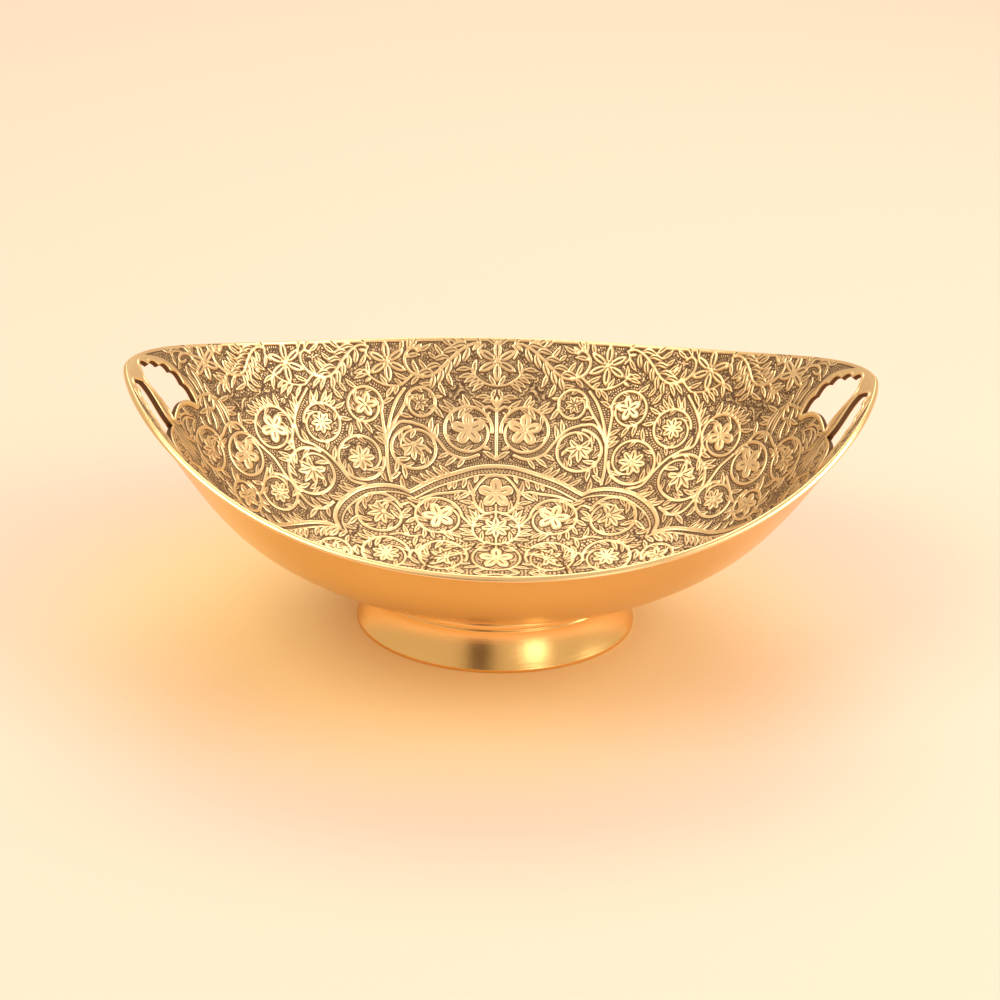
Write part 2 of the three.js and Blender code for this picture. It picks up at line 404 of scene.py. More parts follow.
def band_lines(count):
    """Edge of an opening and the outer edge of its band, as drop and across. The outer edge is the
    edge line smoothed along itself and moved out square to it."""
    edge = opening_outline(count)
    soft = np.exp(-((np.fft.rfftfreq(count, d=1.0 / count) / band_smoothing) ** 2))
    smooth = np.fft.irfft(np.fft.rfft(edge, axis=0) * soft[:, None], n=count, axis=0)
    out = left_of(unit(np.roll(smooth, -1, axis=0) - np.roll(smooth, 1, axis=0)))
    if ((smooth - edge.mean(0)) * out).sum() < 0:
        out = -out
    width = np.where(out[:, 1] < -0.4, np.minimum(band_width, edge[:, 1] - bar_margin), band_width)
    return edge, smooth + out * width[:, None]


band_edge, band_outer = band_lines(560)
band_top = [(0.92, 0.62), (0.72, 0.95), (0.50, 1.0), (0.28, 0.9), (0.10, 0.4)]
band_profile = [(1.35, wall_thickness - 0.55), (1.05, wall_thickness - 0.12)]
band_profile += [(reach, wall_thickness + band_rise * part) for reach, part in band_top]
band_profile += [(0.0, wall_thickness - 0.12), (0.0, wall_thickness * 0.7), (0.0, wall_thickness * 0.4)]
band_profile += [(0.0, 0.3), (0.12, 0.06), (0.35, -0.02), (0.85, -0.02), (1.1, 0.12)]
band_profile = np.array(band_profile)
band_places = band_edge[None] + (band_outer - band_edge)[None] * band_profile[:, :1, None]
band_share, band_turn = place_above(end_reach(band_places[..., 0]), np.abs(band_places[..., 1]))
band_points = in_wall(band_share, band_turn, band_profile[:, 1:])
band_depth = np.broadcast_to(band_profile[:, 1:], band_share.shape)
band_quads = grid_faces(*band_share.shape)

edged = Finish("filed_edge")
band_level = edged.stored("level")
band_noise = edged.noise(120, 3, 0.6)
on_top = edged.between(wall_thickness - 0.25, wall_thickness + 0.12, band_level)
underneath = edged.between(0.45, 0.1, band_level)
# Painted shade: between the polished band top and the rounded outside, the cut through the wall gets a
# near black colour for the shade it sits in.
polish_vs_painted_shade = on_top.worked("MAXIMUM", underneath)
wear_and_painted_shade = polish_vs_painted_shade * (0.80 + 0.4 * band_noise)
edged.set(
    Metallic=0.75 + 0.25 * polish_vs_painted_shade,
    Base_Color=edged.colours(wear_and_painted_shade, (0.13, 0.065, 0.028), (0.95, 0.70, 0.38)),
    Roughness=0.5 - 0.22 * polish_vs_painted_shade + 0.1 * band_noise,
    Normal=edged.bump(band_noise, 0.0001, 0.5),
)

for end, end_name in ((1, "right"), (-1, "left")):
    for side, side_name in ((1, "back"), (-1, "front")):
        turned = band_points * np.array([end, side, 1])
        quads = band_quads if end == side else band_quads[:, ::-1]
        name, level = f"opening_edge_{end_name}_{side_name}", {"level": band_depth}
        add_piece(name, edged, "bowl", turned, quads, values=level)


# ---- Chased inside ----
# The whole inside carries scrolling flowers in low relief: a lobed medallion over the floor, rings
# of scroll with a bloom in each over the wall, and a border of six petalled flowers under the rim.
# The ground is sunk and darkened, ticked with a punch outside the medallion and pearled inside it.

ground_depth, stem_half, slit_half = 0.42, 0.62, 0.13
reach_of_ticks, reach_of_slits = 2.9, 1.0
raised, veins = [], []


def height_above(x, y):
    """Height of the outside of the wall above plan points."""
    return outside_of_wall(*place_above(x, y))[..., 2]


def slope_frame(plan):
    """Uphill direction in plan and the cosine of the slope of the wall, at plan points."""
    x, y, step = plan[..., 0], plan[..., 1], 0.5
    rise_x = height_above(x + step, y) - height_above(x - step, y)
    rise_y = height_above(x, y + step) - height_above(x, y - step)
    rise = np.stack([rise_x, rise_y], -1) / (2 * step)
    steep = np.linalg.norm(rise, axis=-1, keepdims=True)
    return rise / np.maximum(steep, 1e-6), 1 / np.sqrt(1 + steep**2)


def laid(drawing, centre, facing=0.0):
    """Plan points of a flat drawing in mm, laid on the wall round a centre and turned by facing:
    each step uphill is shortened in plan by the cosine of the slope half way there."""
    cos, sin = np.cos(facing), np.sin(facing)
    flat = np.asarray(drawing, float) @ np.array([[cos, sin], [-sin, cos]])
    centre = np.broadcast_to(np.asarray(centre, float), flat.shape)

    def shortened(at):
        uphill, cosine = slope_frame(at)
        climb = (flat * uphill).sum(-1, keepdims=True)
        return flat - uphill * climb * (1 - cosine)

    return centre + shortened(centre + shortened(centre) / 2)


def curve_through(points, spacing=0.7):
    """Smooth line through points: a Catmull-Rom spline, sampled evenly by length."""
    points = np.asarray(points, float)
    ends = np.concatenate([[2 * points[0] - points[1]], points, [2 * points[-1] - points[-2]]])
    t = np.linspace(0, 1, 16, endpoint=False)[:, None]
    pieces = []
    for a, b, c, d in zip(ends, ends[1:], ends[2:], ends[3:]):
        line = 2 * b + (c - a) * t + (2 * a - 5 * b + 4 * c - d) * t**2
        pieces.append((line + (3 * b - a - 3 * c + d) * t**3) / 2)
    line = np.concatenate(pieces + [points[-1:]])
    return evenly(line, max(3, int(lengths_along(line)[-1] / spacing) + 1))


def widths(count, profile):
    """Half widths along a line, from a few values spread evenly over it."""
    return np.interp(np.linspace(0, 1, count), np.linspace(0, 1, len(profile)), profile)


def stroke(plan, profile, into=raised):
    """Adds one raised line, or one vein, from plan points and a profile of half widths."""
    into.append((np.asarray(plan, float), widths(len(plan), profile)))


def drawn(points, profile, centre, facing=0.0, into=raised):
    """Adds a line through points of a flat drawing, laid on the wall round a centre."""
    stroke(laid(curve_through(points), centre, facing), profile, into)


def blade(plan, profile, slit):
    """Adds a leaf along plan points with a fine slit along its middle."""
    stroke(plan, profile)
    stroke(plan, slit, veins)


def heading(angle):
    """Plan direction at an angle."""
    return np.stack([np.cos(angle), np.sin(angle)], -1)


leaf_profile = (0.25, 0.62, 0.92, 0.86, 0.55, 0.14)
petal_profile = (0.30, 0.62, 0.92, 1.0, 0.82, 0.30)
lobe_profile = (0.35, 0.7, 0.9, 1.05, 1.1, 0.8)
dot = ((-0.05, 0), (0.05, 0))


def slit_leaf(points, width, centre, facing=0.0, profile=leaf_profile, slit=(0.22, 0.80)):
    """A leaf or petal: a stroke as wide as its profile says, with a fine slit cut along its middle
    between two shares of its length."""
    plan = laid(curve_through(points), centre, facing)
    stroke(plan, [w * width for w in profile])
    first, last = (int(round(part * (len(plan) - 1))) for part in slit)
    if last > first:
        stroke(plan[first : last + 1], (slit_half * 0.7, slit_half, slit_half * 0.5), veins)


def daisy(centre, size, facing, count=8, profile=petal_profile):
    """Bloom of broad slit petals that touch at their sides, round a small boss."""
    for k in range(count):
        out = heading(facing + 2 * np.pi * k / count)
        petal = [out * size * 0.24, out * size * 0.6, out * size * 0.98]
        slit_leaf(petal, size * np.sin(np.pi / count) * 0.64, centre, 0.0, profile, (0.12, 0.82))
    drawn(dot, (size * 0.15,), centre)


def lobed(centre, size, facing):
    daisy(centre, size, facing, 5, lobe_profile)


def palm(centre, size, facing):
    """Bloom of seven pointed leaves that fan out from a root, with a boss in front of it."""
    root = np.array([-0.35 * size, 0.0])
    for lean in (-2.2, -1.35, -0.66, 0.0, 0.66, 1.35, 2.2):
        length = size * (1.35 - 0.15 * abs(lean) ** 1.3)
        middle, tip = root + length * 0.55 * heading(lean * 0.88), root + length * heading(lean)
        slit_leaf([root * 0.9, middle, tip], size * 0.21, centre, facing, (0.4, 0.8, 1.1, 1.0, 0.2))
    drawn([root - 0.05, root + 0.05], (size * 0.16,), centre, facing)


def ring_scroll(centre, size, start, hand, bloom):
    """Ring of scroll: a stem that runs round a centre from a start angle, by hand 1 or -1, then
    tightens to the bloom, with leaves on its inner side."""
    start, sweep = start * degree, hand * 2 * np.pi * 1.18
    t = np.linspace(0, 1, int(7 * size))
    angle = start + sweep * t
    radius = size * (1 - 0.40 * np.clip((t - 0.66) / 0.34, 0, 1) ** 1.5)
    profile = (stem_half * 1.1, stem_half, stem_half, stem_half * 0.95, stem_half * 0.5)
    stroke(laid(heading(angle) * radius[:, None], centre), profile)
    bloom(centre, size * 0.56, angle[-1] + hand * 1.9)
    tail = heading(angle[-1] + hand * np.array([0.0, 0.5, 1.0, 1.5]))
    reach = size * np.array([0.60, 0.46, 0.30, 0.16])
    drawn(tail * reach[:, None], (stem_half * 0.5, 0.34, 0.3), centre)
    for place in (0.06, 0.20, 0.34, 0.48, 0.62):
        a = start + sweep * place
        leaf = [(0.0, 0.97), (hand * 0.22, 0.83), (hand * 0.50, 0.72)]
        slit_leaf([heading(a + on) * size * part for on, part in leaf], 0.84, centre)


def stem(points, profile=(stem_half,)):
    """Free stem through plan points."""
    stroke(curve_through(points), profile)


wall_rings = [
    ((12.6, 76.3), 10.6, 185, -1, lobed),
    ((36.8, 66.5), 10, 75, -1, palm),
    ((34.2, 82.2), 6.6, -20, 1, palm),
    ((58.8, 75.2), 8, 190, -1, lobed),
    ((59.6, 56.3), 10.6, 165, 1, daisy),
    ((77.2, 61.8), 8.8, -20, 1, daisy),
    ((97, 48), 9.6, 200, -1, lobed),
    ((80.6, 41.8), 11, 100, -1, palm),
    ((107.4, 29.4), 9.6, 120, -1, lobed),
    ((93, 25.6), 8.6, 60, 1, daisy),
    ((120.6, 14.8), 9.6, 130, -1, palm),
    ((105.6, 11.6), 7.6, 80, 1, lobed),
]
for ring in wall_rings:
    ring_scroll(*ring)

stem([(0, 66), (0, 72), (0, 78), (0, 84)], (0.5, stem_half, stem_half, 0.5))
for lean in (-1, 0, 1):
    drawn([(0, 0), (1.5 * lean, 3), (2.6 * lean, 5.2)], (0.4, 0.9, 0.3), (0, 83.5))
drawn([(0, 0), (3.5, 2.2), (6, 0.6), (4.6, -1.6), (3.2, -0.6)], (0.5, 0.6, 0.5, 0.45), (0, 82.5))
stem([(8, 67.6), (14, 65.8), (21, 67.2), (26, 71.2), (31.5, 74.6), (38, 75.2)])
stem([(46.2, 51), (48, 58), (48.6, 66), (47.6, 73.6), (45, 80.2), (41.5, 84.6)])
stem([(48.4, 62), (49.6, 68.5), (51, 74), (51.6, 76.4)])
stem([(48.2, 67.5), (46, 73), (42.6, 78), (40.6, 81.2)])
stem([(38, 75.2), (43.5, 74), (47.8, 69.5)])
stem([(57, 46), (63.5, 45.6), (69, 49.5), (74.5, 52), (80, 52.4)])
stem([(80.4, 52.4), (86, 51.4), (88.5, 56), (87, 62.5), (84, 68.8)])
stem([(86.8, 52), (88.4, 55), (89.5, 51.5), (88.2, 46)])
stem([(84.5, 31.5), (90.5, 33.8), (96, 37.2), (101.5, 37.8)])
stem([(104, 36.8), (110.5, 37.6), (115, 33), (116.8, 26.5)])
stem([(117.2, 26), (117.6, 22.4), (118, 20)])
stem([(98.6, 31.4), (99.6, 25), (100.4, 19), (103, 17)])
stem([(70.5, 33), (74.5, 28.5), (80, 27.5), (85.5, 30.5)])

medallion_line = [
    [(0, 63.5), (8, 62.8), (17, 60), (28, 55.2), (38, 48)],
    [(38, 48), (43, 49), (51, 47.6), (60, 42.8), (67, 34.6), (69.4, 27.2), (67.2, 21.5)],
    [(67.2, 21.5), (72.5, 21.9), (79, 19.6), (86, 14.6), (92, 8.8), (98, 4.4), (104.5, 0)],
]
for arc in medallion_line:
    line = curve_through(arc)
    stroke(line, (0.9,))
    inner = line * (1 - 3.4 / np.linalg.norm(line, axis=1, keepdims=True))
    stroke(inner, (0.32,))

tapering, slender = (0.5, 0.6, 0.4), (0.5,)
floor_rings = [
    ((25, 37.6), 10.2, 170, -1, lobed),
    ((50.4, 34.4), 10.4, 150, -1, palm),
    ((22.6, 12.2), 10.2, 200, -1, palm),
    ((46.8, 11.6), 10.2, 190, -1, daisy),
    ((68, 8.2), 7, 190, -1, lobed),
]
for ring in floor_rings:
    ring_scroll(*ring)
for y, size, bloom in ((51.5, 6.2, lobed), (32.5, 6, daisy), (11, 6, lobed)):
    bloom((0, y), size, np.pi / 2)
stem([(0, 38.5), (0, 43), (0, 45.6)], slender)
stem([(0, 17), (0, 21), (0, 26.5)], slender)
stem([(0, 42), (5.5, 41.5), (9.2, 46.5), (9.6, 52.5), (5, 58.4), (0, 59.6)], (0.5, 0.6, 0.5))
stem([(9.5, 50.5), (14.5, 51.8), (20.5, 50.4), (27, 48.8), (33.5, 45.4)], tapering)
stem([(0, 21.5), (6, 23.5), (9.6, 28.5), (9.8, 34), (6.5, 39.5), (2.6, 41)], tapering)
stem([(9.8, 33), (12.5, 36), (15, 39)], slender)
stem([(34.6, 40.5), (38, 42.5), (41.5, 40.5)], slender)
stem([(0, 1.6), (5.5, 3), (9.6, 8), (9.8, 14), (6.5, 19), (1.5, 20.8)], tapering)
stem([(32.6, 11), (35.2, 15), (37, 10)], slender)
stem([(32.5, 25), (36.5, 23.6), (41, 24.6), (45.5, 23.2)], (0.4, 0.6, 0.4))
stem([(56.8, 12.5), (59.5, 13.8), (61.4, 10)], slender)

rim_flowers = [90, 69.4, 48.9, 29]
flower_gap, flower_down = 46, 10.2
petal_length, petal_half, last_petals = 8.2, 1.6, 0.86


def under_rim(gap, w, down):
    """Plan points in the border: w from 0 at one rim flower to 1 at the next, down in mm below the
    rim on the inside, found by walking down the wall."""
    turn = np.interp(gap + np.asarray(w), np.arange(4), rim_flowers) * degree
    shares = np.linspace(1, 0.7, 121)
    wall = in_wall(shares[:, None], turn[None, :], wall_thickness)
    share = np.array([np.interp(d, lengths_along(wall[:, k]), shares) for k, d in enumerate(down)])
    return outside_of_wall(share, turn)[:, :2]


def border_line(gap, points):
    """Plan points of a smooth line in the border through (w, down) points."""
    line = curve_through(np.array(points) * np.array([flower_gap, 1]))
    return under_rim(gap, line[:, 0] / flower_gap, line[:, 1])


for k in range(len(rim_flowers)):
    centre = under_rim(k, [0], [flower_down])[0]
    share, turn = place_above(*centre)
    tangent = outside_of_wall(share, turn - 0.01) - outside_of_wall(share, turn + 0.01)
    facing = np.arctan2(tangent[1], tangent[0])
    size = petal_length * (1 if k < 3 else last_petals)
    petal_widths = [w * petal_half for w in (0.35, 0.95, 1.1, 0.85, 0.12)]
    for petal in range(6):
        out = heading(np.pi / 2 + petal * np.pi / 3) * size
        drawn([out * 0.20, out * 0.6, out * 1.12], petal_widths, centre, facing)
        drawn([out * 0.32, out * 0.88], (0.22, 0.34, 0.16), centre, facing, veins)
    drawn(dot, (1.15,), centre, facing)

spine = [(0.13, 3), (0.20, 2.2), (0.30, 4.6), (0.42, 9.4), (0.54, 14.6), (0.66, 17.2), (0.76, 15.6)]
hook = [(0.70, 17.4), (0.80, 15.2), (0.835, 10.6), (0.80, 6.2), (0.735, 4), (0.70, 5.6)]
border_stems = [
    (spine, (0.4, 0.55, 0.65, 0.7, 0.65, 0.6, 0.5)),
    (hook, (0.8, 0.7, 0.6, 0.55, 0.6)),
    ([(0.13, 3), (0.17, 6), (0.145, 9)], (0.5, 0.5, 0.35)),
]
low_stems = [
    ([(0.80, 16.6), (0.92, 20.8), (1, 21.4)], (0.6, 0.5, 0.4)),
    ([(0, 21.4), (0.10, 20.6), (0.20, 17.2), (0.24, 13.6)], (0.4, 0.5, 0.35)),
]
for gap in range(3):
    for points, profile in border_stems:
        stroke(border_line(gap, points), profile)
    for k in range(5):
        t = 0.25 + 0.085 * k
        down = np.interp(t, *np.transpose(spine))
        over = [(t + 0.01, down - 0.6), (t + 0.06, down - 1.2), (t + 0.14, down + 0.2)]
        under = [(t, down + 0.6), (t + 0.015, down + 3.4), (t + 0.055, down + 7.2)]
        for leaf in (over, under):
            blade(border_line(gap, leaf), (0.3, 0.95, 1.3, 1.1, 0.12), (0.04, slit_half, 0.16, 0.04))
    for points, profile in low_stems:
        stroke(border_line(gap, points), profile)

end_curl = [(127.6, 39), (130.6, 38.9), (133.2, 36), (134.2, 33), (133.7, 31.9), (132.4, 33.7)]
stem(end_curl + [(131.8, 35.4)], (0.4, 0.6, 0.6, 0.45))
stem([(119.6, 36.9), (122.9, 34.5), (125.2, 30.9), (126.9, 27.6)], (0.5, 0.65, 0.5))
stem([(121.6, 35.6), (120.6, 32.4), (122.4, 30.2)], tapering)
end_leaves = [
    [(125.4, 30.6), (128.2, 31.6), (131, 30.6)],
    [(126.6, 28.2), (130.2, 28.4), (133.8, 26.6)],
    [(124.2, 32.6), (127.2, 34.6), (130.4, 34.2)],
    [(121.8, 30.6), (119.2, 28.6), (119, 25.6)],
    [(124.8, 31.4), (122.6, 28.4), (123.2, 25.2)],
    [(133.6, 36.4), (136.4, 33.4), (137.2, 29.6)],
    [(129.8, 39.6), (133, 39.8), (136, 37.6)],
    [(119.8, 37), (116.4, 36.6), (114.2, 34.2)],
    [(121.8, 35.4), (118, 34), (115.6, 31.2)],
]
for leaf in end_leaves:
    blade(curve_through(leaf), (0.3, 0.95, 1.15, 0.9, 0.12), (0.04, slit_half, 0.04))


def end_plan(points):
    """Plan points from drops below the right tip and distances across."""
    return np.stack([end_reach(points[:, 0]), points[:, 1]], -1)


def end_line(points):
    """Plan points of a smooth line through drops and distances across."""
    return end_plan(curve_through(points))


bar_root = opening_drop + opening_depth - volute_rise
bud = [(bar_tip_drop + part, 0.0) for part in (3.0, 8.0, 13.0, 18.0, 26.0)]
stroke(end_line(bud), (0.25, 1.2, 2.7, 2.0, 1.2))
stroke(end_line(bud[1:4]), (0.12, 0.3, 0.12), veins)
for side in (-1, 1):
    for spread, length in ((1.6, 27.0), (4.6, 25.0), (8.2, 21.0)):
        bend = (bar_root + length * 0.35, spread * 0.42 * side)
        leaf = [(bar_root - 1.0, 0.7 * side), bend, (bar_root + length * 0.8, spread * side)]
        blade(end_line(leaf), (0.5, 1.0, 1.15, 0.8, 0.15), (0.05, slit_half, 0.05))
    for step in (2.4, 4.4):
        rib = [(8.6 + step, 17.6), (3.4 + step, 13.6), (1.4 + step, 8.6)]
        rib.append((3.0 + step * 1.6, 6.4 - step * 0.4))
        rib = [(bar_root + down, across * side) for down, across in rib]
        stroke(end_line(rib), (0.25, 0.42, 0.42, 0.2))

# The rim side of each handle is left plain: a smooth strip between the openings and the rim.
strip_half, strip_end, tip_half = 4.2, 2.4, 9.0
for side in (-1, 1):
    strip = end_plan(rim_side_curve(60)) * np.array([1, side])
    stroke(strip, (strip_half + 0.8, strip_half, strip_end))
tip_line = np.stack([np.full(30, opening_drop * 0.9), np.linspace(-tip_half, tip_half, 30)], -1)
stroke(end_plan(tip_line), (strip_half,))


def fill_with_leaves(seed, tries, room, below_rim=0.985, cell=4.0, slit_above=3.6):
    """Small leaves in the empty ground. Each try starts beside a stem and leans away from it on a
    bent line; it is kept if all of it but the root stands clear of what is already drawn."""
    chance = np.random.default_rng(seed)
    drawn_near = {}

    def note(plan, half):
        places = (plan // cell).astype(int).tolist()
        for place, point, width in zip(places, plan.tolist(), half.tolist()):
            drawn_near.setdefault(tuple(place), []).append((*point, width))

    for plan, half in raised:
        note(plan, half)
    roots = [plan for plan, _ in raised if len(plan) > 8]
    leans = np.concatenate([np.gradient(plan, axis=0) for plan in roots])
    leans = leans / (np.linalg.norm(leans, axis=1, keepdims=True) + 1e-9)
    picks = chance.integers(0, len(leans), tries)
    roots, leans = np.concatenate(roots)[picks], leans[picks]
    out = left_of(leans) * chance.choice([-1.0, 1.0], (tries, 1))
    size = np.sort(chance.uniform(2.8, 6.4, (tries, 1)), axis=0)[::-1]
    t = np.linspace(0, 1, 9)[None, :, None]
    bend = (0.42 * leans + 0.36 * out)[:, None] * size[:, None]
    tip = (0.60 * leans + 0.88 * out)[:, None] * size[:, None]
    path = 2 * t * (1 - t) * bend + t**2 * tip + 0.3 * out[:, None]
    uphill, cosine = slope_frame(roots)
    climb = (path * uphill[:, None]).sum(-1, keepdims=True)
    path = roots[:, None] + path - uphill[:, None] * climb * (1 - cosine)[:, None]
    share, _ = place_above(*roots.T)
    for k in np.nonzero((share < below_rim) & (path.min((1, 2)) > -1.5))[0]:
        body = path[k, 3:]
        i, j = (body[2] // cell).astype(int)
        around = [(a, b) for a in range(i - 2, i + 3) for b in range(j - 2, j + 3)]
        near = np.array([point for key in around for point in drawn_near.get(key, ())])
        if len(near):
            gap = near[None, :, :2] - body[:, None]
            climb = (gap @ uphill[k])[..., None] * uphill[k]
            gap = gap + climb * (1 / cosine[k] - 1)
            if (np.sqrt((gap**2).sum(-1)) - near[:, 2]).min() < room:
                continue
        stroke(path[k], [w * (0.70 + 0.075 * size[k, 0]) for w in leaf_profile])
        if size[k, 0] > slit_above:
            stroke(path[k, 2:7], (0.08, slit_half, 0.06), veins)
        note(*raised[-1])


fill_with_leaves(seed=7, tries=14000, room=0.9)

rim_turns = even_turns(-0.2, np.pi / 2 + 0.2, 900, share=1.0)
stroke(outside_of_wall(np.ones(900), rim_turns)[:, :2], (1.0,))
band_plan = end_plan(np.concatenate([band_outer, band_outer[:1]]))
for side in (1, -1):
    stroke(band_plan * np.array([1, side]), (0.3,))


def as_segments(drawing, tick_shift=7.3):
    """All lines cut into short straight pieces: their ends in space on the inside of the wall, their
    half widths, how far along its line each begins, and their middles in plan."""
    rows = []
    for number, (plan, half) in enumerate(drawing):
        share, turn = place_above(*plan.T)
        solid = in_wall(np.minimum(share, 1.0), turn, wall_thickness)
        walked = lengths_along(solid)[:-1] + tick_shift * number
        rows.append([solid[:-1], solid[1:], half[:-1], half[1:], walked, (plan[:-1] + plan[1:]) / 2])
    return mirrored_over_axes([np.concatenate(part) for part in zip(*rows)])


def mirrored_over_axes(segments):
    """The same segments with those near the long and the cross axis copied over to the other side."""
    parts = [segments]
    for flip in np.array([(-1, 1), (1, -1), (-1, -1)]):
        near = ((np.abs(segments[5]) < reach_of_ticks + 3) | (flip > 0)).all(1)
        starts, ends, first, last, walked, middles = (part[near] for part in segments)
        solid = np.array([*flip, 1])
        parts.append([starts * solid, ends * solid, first, last, walked, middles * flip])
    return [np.concatenate(part) for part in zip(*parts)]


def nearest_line(places, points, segments, reach, tile=5.0, at_once=400000):
    """Distance from each point to the edge of the nearest line, negative on it, and how far along
    that line it lies. Points are taken in square tiles of the plan, with the segments near each."""
    starts, ends, first, last, walked, middles = segments
    step = ends - starts
    length2 = np.maximum((step**2).sum(1), 1e-9)
    distance = np.full(len(points), reach)
    along = places.sum(1)
    column = np.floor(places / tile).astype(int)
    key = (column + 100) @ np.array([1000, 1])
    order = np.argsort(key, kind="stable")
    margin = reach + strip_half + 1.0
    for members in np.split(order, np.nonzero(np.diff(key[order]))[0] + 1):
        low, high = places[members].min(0) - margin, places[members].max(0) + margin
        near = np.nonzero(((middles > low) & (middles < high)).all(1))[0]
        if not len(near):
            continue
        for part in np.array_split(members, len(members) * len(near) // at_once + 1):
            gap = points[part][:, None] - starts[near][None]
            t = np.clip((gap * step[near]).sum(-1) / length2[near], 0, 1)
            gap = gap - t[..., None] * step[near]
            edge = np.sqrt((gap**2).sum(-1)) - first[near] - (last - first)[near] * t
            best = edge.argmin(1)
            value, t = edge[np.arange(len(part)), best], t[np.arange(len(part)), best]
            travelled = walked[near][best] + t * np.sqrt(length2[near][best])
            distance[part] = np.where(value < reach, value, reach)
            along[part] = np.where(value < reach, travelled, along[part])
    return distance, along


raised_segments, vein_segments = as_segments(raised), as_segments(veins)

profile_shares = np.linspace(0.004, 1.0, 4001)
profile_walk = lengths_along(in_wall(profile_shares, np.full(4001, 45 * degree), wall_thickness))
zone_limits = [0.006, 0.20, 0.42, 0.72, 1.0]
zone_columns = [120, 240, 480, 480]
zone_rings = [56, 66, 108, 158]
edge_clearance = 0.25


def zone_field(zone):
    """Shares, turns and relief of one ring shaped zone of the inside, worked out on one quarter and
    mirrored to the others."""
    low, high = np.interp(zone_limits[zone : zone + 2], profile_shares, profile_walk)
    shares = np.interp(np.linspace(low, high, zone_rings[zone] + 1), profile_walk, profile_shares)
    turns = even_turns(0, np.pi / 2, 481)[:: 480 // zone_columns[zone]]
    share, turn = np.meshgrid(shares, turns, indexing="ij")
    places = outside_of_wall(share, turn)[..., :2].reshape(-1, 2)
    points = in_wall(share, turn, wall_thickness).reshape(-1, 3)
    gap, along = nearest_line(places, points, raised_segments, reach_of_ticks)
    groove, _ = nearest_line(places, points, vein_segments, reach_of_slits)

    def whole(quarter):
        quarter = quarter.reshape(share.shape)
        half = np.concatenate([quarter, quarter[:, -2::-1]], 1)
        return np.concatenate([half, half[:, -2:0:-1]], 1)

    turns = np.concatenate([turns, np.pi - turns[-2::-1]])
    turns = np.concatenate([turns, 2 * np.pi - turns[-2:0:-1]])
    return shares, turns, [whole(field) for field in (gap, along, groove, opening_distance(share, turn))]


def eased(low, high, value):
    """0 below low and 1 above high, smooth between them."""
    t = np.clip((value - low) / (high - low), 0, 1)
    return t * t * (3 - 2 * t)


def relief_height(gap, groove):
    """Height of the relief in mm over the sunk ground: full on a line, falling off over its edge,
    lightly crowned, and cut by the veins."""
    top = 1 - eased(-0.22, 0.30, gap)
    crown = 0.88 + 0.16 * eased(0.0, -0.9, gap)
    cut = 0.7 * (1 - eased(-0.08, 0.26, groove))
    return ground_depth * (top * crown * (1 - cut))


chased = Finish("chased_brass")
gap_at = chased.stored("gap")
along_at = chased.stored("along")
inside_medallion = chased.stored("pearled")

in_slit = chased.between(0.30, 0.02, chased.stored("groove"))
in_ground = chased.between(-0.04, 0.22, gap_at)
tick_length, tick_pitch = 1.5, 1.05
row = (gap_at / tick_length).worked("FLOOR")
fine = chased.noise(900, 2, 0.6)
cloud = chased.noise(22, 4, 0.6)
hand_work = chased.noise(300, 3, 0.6)
tick_place = along_at / tick_pitch + gap_at * 0.14 + row * 0.41 + hand_work * 0.18
tick_wave = (tick_place * (2 * math.pi)).worked("SINE") * 0.5 + 0.5
tick_end = gap_at / tick_length - row
ticks = chased.between(0.34, 0.66, tick_wave) * chased.between(0.42, 0.62, gap_at)
ticks = ticks * chased.between(0.0, 0.16, tick_end) * chased.between(1.0, 0.86, tick_end)
pearl_size = 1.6
pearl_row = ((gap_at - 0.3) / pearl_size).worked("FLOOR")
pearl_down = (gap_at - 0.3) / pearl_size - pearl_row - 0.5
pearl_place = along_at / pearl_size + pearl_row * 0.5
pearl_across = pearl_place - pearl_place.worked("FLOOR") - 0.5
pearl_reach = (pearl_down * pearl_down + pearl_across * pearl_across).worked("SQRT")
pearls = chased.between(0.46, 0.30, pearl_reach) * chased.between(0.3, 0.5, gap_at)
punched = ticks * (1 - inside_medallion) + pearls * inside_medallion

top_mask = (1 - in_ground) * (1 - 0.9 * in_slit)
ground_lit = punched * (0.50 + 0.65 * hand_work)
shine = top_mask + (1 - top_mask) * ground_lit * 0.92
shine = shine * (0.82 + 0.30 * hand_work)
metal_colour = chased.colours(cloud, (0.80, 0.54, 0.26), (0.97, 0.75, 0.46))
stain_colour = chased.colours(hand_work, (0.075, 0.036, 0.016), (0.17, 0.085, 0.038))
chased.set(
    Metallic=0.25 + 0.75 * shine.worked("MINIMUM", 1.0),
    Base_Color=chased.colours(shine.worked("MINIMUM", 1.0), stain_colour, metal_colour),
    Roughness=0.52 - 0.22 * shine + 0.12 * fine,
    Normal=chased.bump(punched + hand_work * 0.35, 0.00026, 0.9),
)


medallion_edge = np.concatenate([curve_through(arc) for arc in medallion_line])
medallion_angle = np.arctan2(medallion_edge[:, 1], medallion_edge[:, 0])
by_angle = np.argsort(medallion_angle)
medallion_rim = medallion_angle[by_angle], np.linalg.norm(medallion_edge, axis=1)[by_angle]


def inside_points(shares, turns, fields):
    """Corner points of the chased surface and the numbers stored on them."""
    gap, along, groove, _ = fields
    share, turn = np.meshgrid(shares, turns, indexing="ij")
    points = in_wall(share, turn, wall_thickness - ground_depth + relief_height(gap, groove))
    x, y = np.abs(np.moveaxis(outside_of_wall(share, turn)[..., :2], -1, 0))
    pearled = (np.hypot(x, y) < np.interp(np.arctan2(y, x), *medallion_rim)).astype(float)
    return points, {"gap": gap, "along": along, "groove": groove, "pearled": pearled}


